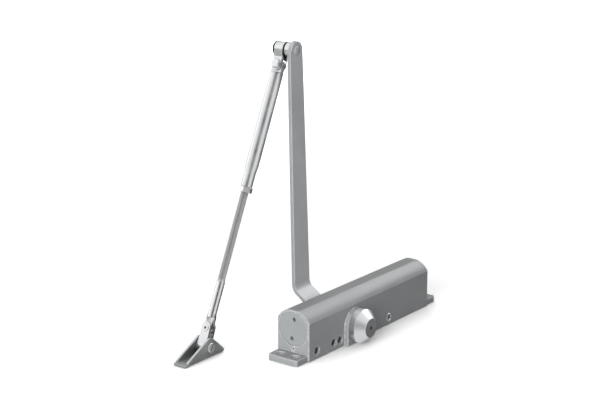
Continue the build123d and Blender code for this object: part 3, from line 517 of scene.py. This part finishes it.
class CLOSER_OT_castings(bpy.types.Operator):
    """Silver paint on the cast body and the two end plugs"""

    bl_idname = "closer.castings"
    bl_label = "Cast body"

    def execute(self, context):
        finish = context.scene.closer_finish
        # Strong edge wear paints highlights on the casting's rims; grime paints shade in its
        # corners.
        paint = finish_material(
            "cast_silver_paint",
            sprayed(finish.casting, rough=0.40, grain=finish.grain),
            metallic=0.08, bump=0.00005, wear_and_highlight=min(1.0, finish.wear_and_highlight * CASTING_WEAR_AND_HIGHLIGHT),
            worn_and_lit=(0.72, 0.73, 0.74), width=0.002, grime_and_shade=0.6, gloss=0.16,
        )
        dress(paint, "housing")
        plug = finish_material(
            "plug_silver_paint",
            sprayed(finish.casting, rough=0.38, grain=finish.grain * 0.8),
            metallic=0.1, bump=0.00004, wear_and_highlight=finish.wear_and_highlight, worn_and_lit=(0.66, 0.67, 0.68), grime_and_shade=0.6,
        )
        dress(plug, "pressure_end_plug", "spring_end_plug")
        return {"FINISHED"}


class CLOSER_OT_cap(bpy.types.Operator):
    """Lacquered conical cap over the pinion"""

    bl_idname = "closer.cap"
    bl_label = "Pinion cap"

    def execute(self, context):
        finish = context.scene.closer_finish
        lacquer = finish_material(
            "cap_lacquer",
            sprayed(finish.cap, rough=0.34, grain=finish.grain * 0.6, flake=0.06),
            metallic=0.92, bump=0.00002, wear_and_highlight=finish.wear_and_highlight, worn_and_lit=(0.75, 0.76, 0.77), width=0.0012,
        )
        dress(lacquer, "pinion_cap")
        return {"FINISHED"}


class CLOSER_OT_screws(bpy.types.Operator):
    """Regulating valves, plugs and gland nuts"""

    bl_idname = "closer.screws"
    bl_label = "Valves and plugs"

    def execute(self, context):
        finish = context.scene.closer_finish
        # Dark valve steel and heavy grime paint the shade of the valves' holes; the wear paints a
        # bright ring.
        turned = finish_material(
            "turned_steel",
            drawn(finish.valve_and_hole_shade, rough=0.3, stretch=(1.0, 0.08, 1.0), streak=0.12),
            metallic=1.0, bump=0.00001, wear_and_highlight=0.6, worn_and_lit=(0.8, 0.8, 0.81), grime_and_shade=0.95,
        )
        dress(turned, "sweep_valve", "latch_valve", "backcheck_valve")
        bright = finish_material(
            "plug_zinc",
            drawn(finish.zinc, rough=0.3, stretch=(1.0, 0.2, 1.0)),
            metallic=1.0, bump=0.00001, wear_and_highlight=0.3, worn_and_lit=(0.8, 0.8, 0.81), grime_and_shade=0.7,
        )
        dress(bright, "filler_plug")
        satin = finish_material(
            "satin_zinc",
            drawn(finish.zinc, rough=0.45, stretch=(0.2, 1.0, 1.0)),
            metallic=0.4, bump=0.00001, wear_and_highlight=0.3, worn_and_lit=(0.9, 0.9, 0.91), grime_and_shade=0.9,
        )
        dress(satin, "gallery_plug")
        black = finish_material(
            "blackened_steel",
            drawn(finish.dark_steel, rough=0.4, stretch=(1.0, 0.2, 1.0), streak=0.2),
            metallic=0.9, bump=0.00002, wear_and_highlight=0.5, worn_and_lit=(0.4, 0.4, 0.41),
        )
        dress(black, "gland_nuts")
        return {"FINISHED"}


class CLOSER_OT_arm(bpy.types.Operator):
    """Silver paint on the flat arm and its elbow pin"""

    bl_idname = "closer.arm"
    bl_label = "Main arm"

    def execute(self, context):
        finish = context.scene.closer_finish
        # The arm's sides that look along X get painted shade, and its edges a painted highlight.
        paint = finish_material(
            "arm_silver_paint",
            sprayed(finish.arm, rough=0.38, grain=finish.grain * 1.1, flake=0.12),
            metallic=0.1, bump=0.00005, wear_and_highlight=finish.wear_and_highlight, worn_and_lit=(0.78, 0.79, 0.8), width=0.0011,
            gloss=0.3, sheared_side_shade=0.8,
        )
        dress(paint, "main_arm")
        # Heavy wear and grime paint a bright rim and a shaded outline on the pin's head.
        pin = finish_material(
            "elbow_pin_paint",
            sprayed(finish.arm, rough=0.32, grain=finish.grain),
            metallic=0.2, bump=0.00003, wear_and_highlight=0.8, worn_and_lit=(0.8, 0.81, 0.82), width=0.0009, grime_and_shade=0.95,
        )
        dress(pin, "elbow_pin")
        return {"FINISHED"}


class CLOSER_OT_fasteners(bpy.types.Operator):
    """Bright zinc straps, bolts, nuts, rivet and screws"""

    bl_idname = "closer.fasteners"
    bl_label = "Straps and fasteners"

    def execute(self, context):
        finish = context.scene.closer_finish
        plate = finish_material(
            "strap_zinc",
            drawn(finish.zinc, rough=0.24, stretch=(1.0, 0.15, 1.0)),
            metallic=1.0, bump=0.00001, wear_and_highlight=0.3, worn_and_lit=(0.92, 0.92, 0.93), grime_and_shade=0.6,
        )
        dress(
            plate, "elbow_strap", "shoe_strap", "elbow_sleeve", "elbow_bolt", "elbow_nut",
            "shoe_rivet", "shoe_nut", "arm_screw", "arm_washer",
        )
        head = finish_material(
            "screw_zinc",
            drawn(finish.screw, rough=0.42, stretch=(1.0, 0.2, 1.0), streak=0.1),
            metallic=0.8, bump=0.00001, wear_and_highlight=0.5, worn_and_lit=(0.9, 0.9, 0.91), grime_and_shade=0.9,
        )
        dress(head, "shoe_screw")
        return {"FINISHED"}


class CLOSER_OT_forearm(bpy.types.Operator):
    """Bright zinc tube and lock nut"""

    bl_idname = "closer.forearm"
    bl_label = "Forearm tube"

    def execute(self, context):
        finish = context.scene.closer_finish
        tube = finish_material(
            "tube_zinc",
            drawn(finish.zinc, rough=0.34, stretch=(1.0, 1.0, 0.04)),
            metallic=1.0, bump=0.000008, wear_and_highlight=0.25, worn_and_lit=(0.92, 0.92, 0.93),
        )
        dress(tube, "forearm_tube", "lock_nut")
        return {"FINISHED"}


def rod_space():
    """Matrix whose Z runs down the rod from the level of the elbow axis."""
    along = Vector(JOINTS["rod_adjust"]["axis"]).normalized()
    across = Vector(JOINTS["forearm_tilt"]["axis"]).normalized()
    side = along.cross(across).normalized()
    start = Vector(JOINTS["forearm_tilt"]["pos_m"]) - along * BOLT_FROM_ELBOW
    turn = Matrix((across, side, along)).transposed().to_4x4()
    return Matrix.Translation(start) @ turn


def flattened_end(space):
    """Mesh of the CAD rod's flattened lower end, in the rod's space and closed at its top."""
    mesh = bmesh.new()
    mesh.from_mesh(NODES["threaded_rod"].data)
    bmesh.ops.transform(mesh, matrix=space.inverted(), verts=mesh.verts)
    bmesh.ops.remove_doubles(mesh, verts=mesh.verts, dist=WELD_DISTANCE)
    bmesh.ops.bisect_plane(
        mesh, geom=mesh.verts[:] + mesh.edges[:] + mesh.faces[:], plane_co=(0.0, 0.0, SHANK_END),
        plane_no=(0.0, 0.0, 1.0), clear_inner=True,
    )
    bmesh.ops.holes_fill(mesh, edges=[edge for edge in mesh.edges if edge.is_boundary])
    for face in mesh.faces:
        face.material_index = SHANK_SLOT
    return mesh


def thread_rows(thread):
    """Rows of (length along the rod, radius at each side) for a helix that fades at both ends."""
    step = thread.pitch / thread.steps
    count = int((THREAD_END - ROD_TOP) / step)
    for index in range(count + 1):
        along = ROD_TOP + index * step
        fade_in = (along - ROD_TOP) / thread.pitch
        fade_out = max(0.0, THREAD_END - along) / (2 * thread.pitch)
        fade = min(1.0, fade_in, fade_out)
        radii = []
        for corner in range(thread.sides):
            phase = (along / thread.pitch - corner / thread.sides) % 1.0
            flank = abs(2 * phase - 1.0) * FLANK_SLOPE - FLANK_DROP
            rise = min(1.0, max(0.0, flank))
            radii.append(ROD_RADIUS - thread.depth * fade * (1.0 - rise))
        yield along, radii


def add_round_rod(mesh, thread):
    """Adds the threaded length and the plain shank below it to the rod's mesh."""
    angles = [2 * math.pi * corner / thread.sides for corner in range(thread.sides)]
    rows = list(thread_rows(thread))
    threaded = len(rows)
    shank = [THREAD_END + start for start in SHANK_STARTS] + [SHANK_END]
    rows += [(along, [SHANK_RADIUS] * thread.sides) for along in shank]
    rings = []
    for along, radii in rows:
        ring = [
            mesh.verts.new((radius * math.cos(angle), radius * math.sin(angle), along))
            for radius, angle in zip(radii, angles)
        ]
        rings.append(ring)
    for index, (upper, lower) in enumerate(zip(rings, rings[1:])):
        for corner in range(thread.sides):
            after = (corner + 1) % thread.sides
            face = mesh.faces.new((upper[corner], upper[after], lower[after], lower[corner]))
            face.material_index = THREAD_SLOT if index < threaded else SHANK_SLOT
    mesh.faces.new(list(reversed(rings[0]))).material_index = THREAD_SLOT
    mesh.faces.new(rings[-1]).material_index = SHANK_SLOT


class CLOSER_OT_rod(bpy.types.Operator):
    """Rod with a real helical thread, standing in for the plain one"""

    bl_idname = "closer.rod"
    bl_label = "Threaded rod"

    def execute(self, context):
        finish = context.scene.closer_finish
        space = rod_space()
        mesh = flattened_end(space)
        add_round_rod(mesh, context.scene.closer_thread)
        bmesh.ops.transform(mesh, matrix=space, verts=mesh.verts)
        bmesh.ops.recalc_face_normals(mesh, faces=mesh.faces)
        data = bpy.data.meshes.new("rolled_rod")
        mesh.to_mesh(data)
        mesh.free()
        data.shade_smooth()
        data.set_sharp_from_angle(angle=SHARP_ANGLE)
        rolled = finish_material(
            "thread_zinc",
            drawn(finish.thread, rough=0.36, stretch=(1.0, 1.0, 0.3), streak=0.15),
            metallic=1.0, bump=0.00001, wear_and_highlight=0.5, worn_and_lit=(0.9, 0.9, 0.91), width=0.0002,
        )
        bright = finish_material(
            "shank_zinc",
            drawn(finish.zinc, rough=0.22, stretch=(1.0, 1.0, 0.05)),
            metallic=1.0, bump=0.000008, wear_and_highlight=0.25, worn_and_lit=(0.92, 0.92, 0.93),
        )
        data.materials.append(rolled)
        data.materials.append(bright)
        rod = bpy.data.objects.new("rolled_rod", data)
        context.scene.collection.objects.link(rod)
        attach(rod, "rod")
        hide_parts("threaded_rod")
        return {"FINISHED"}


class CLOSER_OT_shoe(bpy.types.Operator):
    """Plated sheet shoe"""

    bl_idname = "closer.shoe"
    bl_label = "Shoe bracket"

    def execute(self, context):
        finish = context.scene.closer_finish
        # Heavy edge wear paints highlights on the sheet's cut edges; grime with a long reach paints
        # shade in the channel and the toe's hole.
        sheet = finish_material(
            "shoe_sheet_zinc",
            drawn(finish.sheet, rough=0.38, stretch=(0.06, 1.0, 1.0), streak=0.12),
            metallic=0.85, bump=0.000015, wear_and_highlight=2.0, worn_and_lit=(0.88, 0.89, 0.89), width=0.0016,
            grime_and_shade=0.95, reach=0.012,
        )
        dress(sheet, "shoe_bracket")
        return {"FINISHED"}


def squeezed_spring(context, steel):
    """Return spring: a copy of the CAD spring in the given steel, attached to the body in its
    place.
    """
    data = NODES["main_spring"].data.copy()
    data.name = "coil_spring"
    data.materials.clear()
    data.materials.append(steel)
    spring = bpy.data.objects.new("coil_spring", data)
    context.scene.collection.objects.link(spring)
    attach(spring, "body")
    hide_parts("main_spring")
    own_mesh(spring)


class CLOSER_OT_works(bpy.types.Operator):
    """Pinion, piston, spring, bearings and seals inside the body, and the elbow's bush"""

    bl_idname = "closer.works"
    bl_label = "Inner works"

    def execute(self, context):
        finish = context.scene.closer_finish
        steel = finish_material(
            "ground_steel",
            drawn(finish.bare_steel, rough=0.25, stretch=(1.0, 0.1, 1.0), streak=0.12),
            metallic=1.0, bump=0.00001, wear_and_highlight=0.3, worn_and_lit=(0.7, 0.7, 0.71), grime_and_shade=0.4,
        )
        dress(steel, "pinion_shaft", "check_ball", "check_cage")
        squeezed_spring(context, steel)
        iron = finish_material(
            "machined_iron",
            drawn(finish.iron, rough=0.35, stretch=(1.0, 0.1, 0.1), streak=0.2),
            metallic=0.9, bump=0.00001, wear_and_highlight=0.3, worn_and_lit=(0.5, 0.5, 0.5), grime_and_shade=0.4,
        )
        dress(iron, "rack_piston")
        bronze = finish_material(
            "sintered_bronze",
            drawn(finish.bronze, rough=0.4, stretch=(1.0, 1.0, 1.0), streak=0.2),
            metallic=0.9, bump=0.00002,
        )
        dress(bronze, "shaft_bearings", "shoe_bush")
        moulded = finish_material(
            "bush_black",
            sprayed(finish.bush, rough=0.6, grain=finish.grain, flake=0.2),
            metallic=0.0, bump=0.00002, grime_and_shade=0.3, gloss=0.1,
        )
        dress(moulded, "elbow_bush")
        rubber = finish_material(
            "seal_rubber",
            sprayed(finish.rubber, rough=0.6, grain=finish.grain, flake=0.2),
            metallic=0.0, bump=0.00003, grime_and_shade=0.3,
        )
        dress(rubber, "shaft_seals", "end_plug_seals")
        return {"FINISHED"}


# Stage

# Camera: place, direction, sensor width in millimetres, and the nearest distance it shows.
CAMERA_PLACE = Vector((-1.3584, -0.9573, 0.6076))
CAMERA_LOOK = Vector((0.76664, 0.58443, -0.26589))
SENSOR_WIDTH = 36.0
NEAREST_SHOWN = 0.01
# Lamps: the setting with the power, width, height, place, and whether it only shows in reflections.
LAMPS = (
    ("key", 1.6, 1.6, (-1.75, -0.4, 0.5), False),
    ("fill", 1.2, 1.2, (-0.9, -1.5, 0.6), False),
    ("rear", 1.6, 1.6, (1.6, 1.5, 0.45), False),
    ("back", 1.5, 0.55, (1.2, -0.1, 0.98), True),
)
# Point that every lamp faces.
LAMP_AIM = Vector((-0.03, 0.02, 0.12))
# The floor: half its width, how far it lies under the closer, and its colour to bounced light.
FLOOR_HALF = 6.0
FLOOR_DROP = 0.0003
BOUNCE_GREY = (0.35, 0.35, 0.35, 1.0)
# The paper's own glow by distance from the closer: near and far, and its level there.
GLOW_NEAR, GLOW_FAR = 0.4, 1.8
NEAR_LEVEL, FAR_LEVEL = 0.58, 0.95
# The contact shadow: how far it reaches, and the openness at which it is full and has gone.
SHADOW_REACH = 0.05
SHADOW_FULL, SHADOW_GONE = 0.35, 0.85
# Light on the surfaces from all round.
SOFT_LEVEL = 0.21
# The studio in reflections: slightly dimmer below the horizon, with dim and bright parts.
# Each part is a direction, the cosines of its inner and outer edge, and its level.
HORIZON_FROM, LOWER_LEVEL = -0.04, 0.9
ROOM_PARTS = (
    ((-0.767, -0.584, 0.266), 0.965, 0.80, 0.16),
    ((0.93, -0.08, -0.33), 0.95, 0.70, 0.12),
    ((-0.76, 0.56, -0.33), 0.98, 0.90, 0.35),
    ((0.78, -0.56, -0.27), 0.97, 0.86, 0.13),
    ((-0.35, 0.92, 0.20), 0.97, 0.85, 1.4),
    ((0.77, 0.58, 0.27), 0.96, 0.78, 0.5),
    ((0.50, 0.83, -0.25), 0.985, 0.92, 0.1),
)


def add_lamp(scene, name, power, wide, high, place, mirrored):
    """Soft oval lamp; a mirrored one shows only as a reflection, the others only light surfaces."""
    light = bpy.data.lights.new(name, "AREA")
    light.energy = power
    light.shape = "ELLIPSE"
    light.size = wide
    light.size_y = high
    thing = bpy.data.objects.new(name, light)
    thing.location = place
    thing.rotation_euler = (LAMP_AIM - Vector(place)).to_track_quat("-Z", "Y").to_euler()
    thing.visible_glossy = mirrored
    thing.visible_diffuse = not mirrored
    scene.collection.objects.link(thing)


def plain_white(tree, path):
    """One where the ray comes straight from the camera or through a transparent piece."""
    seen = path.outputs
    return maths(tree, "MAXIMUM", seen["Is Camera Ray"], seen["Is Transmission Ray"])


def mixed(tree, share, first, second):
    """Two shaders mixed."""
    blend = tree.nodes.new("ShaderNodeMixShader")
    link(tree, share, blend.inputs[0])
    link(tree, first.outputs[0], blend.inputs[1])
    link(tree, second.outputs[0], blend.inputs[2])
    return blend


def floor_material(colour):
    """White paper with a contact shadow to the camera, grey to bounced light."""
    material = bpy.data.materials.new("floor_white")
    material.use_nodes = True
    tree = material.node_tree
    tree.nodes.clear()
    path = tree.nodes.new("ShaderNodeLightPath")
    bounce = node(tree, "ShaderNodeBsdfDiffuse", Color=BOUNCE_GREY)
    away = vector_maths(tree, "LENGTH", coordinates(tree)["Object"])["Value"]
    hollow = node(tree, "ShaderNodeAmbientOcclusion", Distance=SHADOW_REACH)
    hollow.samples = 8
    shade = spread(tree, hollow.outputs["AO"], SHADOW_FULL, SHADOW_GONE, 0.0, 1.0)
    paper = node(tree, "ShaderNodeBsdfDiffuse", Color=opaque(colour))
    level = spread(tree, away, GLOW_NEAR, GLOW_FAR, NEAR_LEVEL, FAR_LEVEL)
    level = maths(tree, "MULTIPLY", level, shade)
    glow = node(tree, "ShaderNodeEmission", Color=WHITE, Strength=level)
    lit = node(tree, "ShaderNodeAddShader")
    link(tree, paper.outputs[0], lit.inputs[0])
    link(tree, glow.outputs[0], lit.inputs[1])
    shown = mixed(tree, plain_white(tree, path), bounce, lit)
    node(tree, "ShaderNodeOutputMaterial", Surface=shown.outputs[0])
    return material


def room_colour(tree):
    """White with soft dim and bright parts, by direction in the studio."""
    direction = coordinates(tree)["Generated"]
    upward = node(tree, "ShaderNodeSeparateXYZ", Vector=direction).outputs["Z"]
    level = spread(tree, upward, HORIZON_FROM, 0.0, LOWER_LEVEL, 1.0)
    for aim, inner, outer, amount in ROOM_PARTS:
        turn = vector_maths(tree, "DOT_PRODUCT", direction, Vector(aim).normalized())["Value"]
        level = maths(tree, "MULTIPLY", level, spread(tree, turn, outer, inner, 1.0, amount))
    return grey_of(tree, level)


def studio_world(scene):
    """White backdrop to the camera, the studio in reflections, soft light otherwise."""
    world = bpy.data.worlds.new("studio_world")
    world.use_nodes = True
    tree = world.node_tree
    tree.nodes.clear()
    path = tree.nodes.new("ShaderNodeLightPath")
    soft = node(tree, "ShaderNodeBackground", Color=WHITE, Strength=SOFT_LEVEL)
    white = node(tree, "ShaderNodeBackground", Color=WHITE, Strength=1.0)
    room = node(tree, "ShaderNodeBackground", Color=room_colour(tree), Strength=1.0)
    lit = mixed(tree, path.outputs["Is Glossy Ray"], soft, room)
    shown = mixed(tree, plain_white(tree, path), lit, white)
    node(tree, "ShaderNodeOutputWorld", Surface=shown.outputs[0])
    scene.world = world


class CLOSER_OT_stage(bpy.types.Operator):
    """White floor, soft lamps and the camera"""

    bl_idname = "closer.stage"
    bl_label = "Studio"

    def execute(self, context):
        scene = context.scene
        stage = scene.closer_stage
        half = FLOOR_HALF
        corners = [(-half, -half, 0), (half, -half, 0), (half, half, 0), (-half, half, 0)]
        data = bpy.data.meshes.new("floor")
        data.from_pydata(corners, [], [(0, 1, 2, 3)])
        data.materials.append(floor_material(stage.floor))
        floor = bpy.data.objects.new("floor", data)
        floor.location = (0.0, 0.0, -FLOOR_DROP)
        floor.visible_glossy = False
        scene.collection.objects.link(floor)
        for setting, wide, high, place, mirrored in LAMPS:
            power = getattr(stage, setting)
            add_lamp(scene, setting + "_lamp", power, wide, high, place, mirrored)
        studio_world(scene)
        camera = bpy.data.cameras.new("camera")
        camera.lens = stage.lens
        camera.sensor_width = SENSOR_WIDTH
        camera.clip_start = NEAREST_SHOWN
        thing = bpy.data.objects.new("camera", camera)
        thing.location = CAMERA_PLACE
        thing.rotation_euler = CAMERA_LOOK.to_track_quat("-Z", "Y").to_euler()
        scene.collection.objects.link(thing)
        scene.camera = thing
        scene.view_settings.view_transform = "Standard"
        return {"FINISHED"}


OPERATORS = (
    CLOSER_OT_castings, CLOSER_OT_cap, CLOSER_OT_screws, CLOSER_OT_arm, CLOSER_OT_fasteners,
    CLOSER_OT_forearm, CLOSER_OT_rod, CLOSER_OT_shoe, CLOSER_OT_works, CLOSER_OT_stage,
)


class CLOSER_PT_panel(bpy.types.Panel):
    """Lists the closer's pieces and settings"""

    bl_idname = "CLOSER_PT_panel"
    bl_label = "Door closer"
    bl_space_type = "VIEW_3D"
    bl_region_type = "UI"
    bl_category = "Closer"

    def draw(self, context):
        scene = context.scene
        for operator in OPERATORS:
            self.layout.operator(operator.bl_idname)
        for settings in (scene.closer_finish, scene.closer_thread, scene.closer_stage):
            box = self.layout.box()
            for name in settings.__annotations__:
                box.prop(settings, name)


CLASSES = (CloserFinish, CloserThread, CloserStage) + OPERATORS + (CLOSER_PT_panel,)


def register():
    """Adds the classes, and the settings to the scene."""
    for cls in CLASSES:
        bpy.utils.register_class(cls)
    bpy.types.Scene.closer_finish = PointerProperty(type=CloserFinish)
    bpy.types.Scene.closer_thread = PointerProperty(type=CloserThread)
    bpy.types.Scene.closer_stage = PointerProperty(type=CloserStage)


def unregister():
    """Takes the settings and the classes away again."""
    del bpy.types.Scene.closer_stage
    del bpy.types.Scene.closer_thread
    del bpy.types.Scene.closer_finish
    for cls in reversed(CLASSES):
        bpy.utils.unregister_class(cls)


def main():
    """Builds all pieces and the stage."""
    register()
    bpy.ops.closer.castings()
    bpy.ops.closer.cap()
    bpy.ops.closer.screws()
    bpy.ops.closer.arm()
    bpy.ops.closer.fasteners()
    bpy.ops.closer.forearm()
    bpy.ops.closer.rod()
    bpy.ops.closer.shoe()
    bpy.ops.closer.works()
    bpy.ops.closer.stage()


if __name__ == "__main__":
    main()
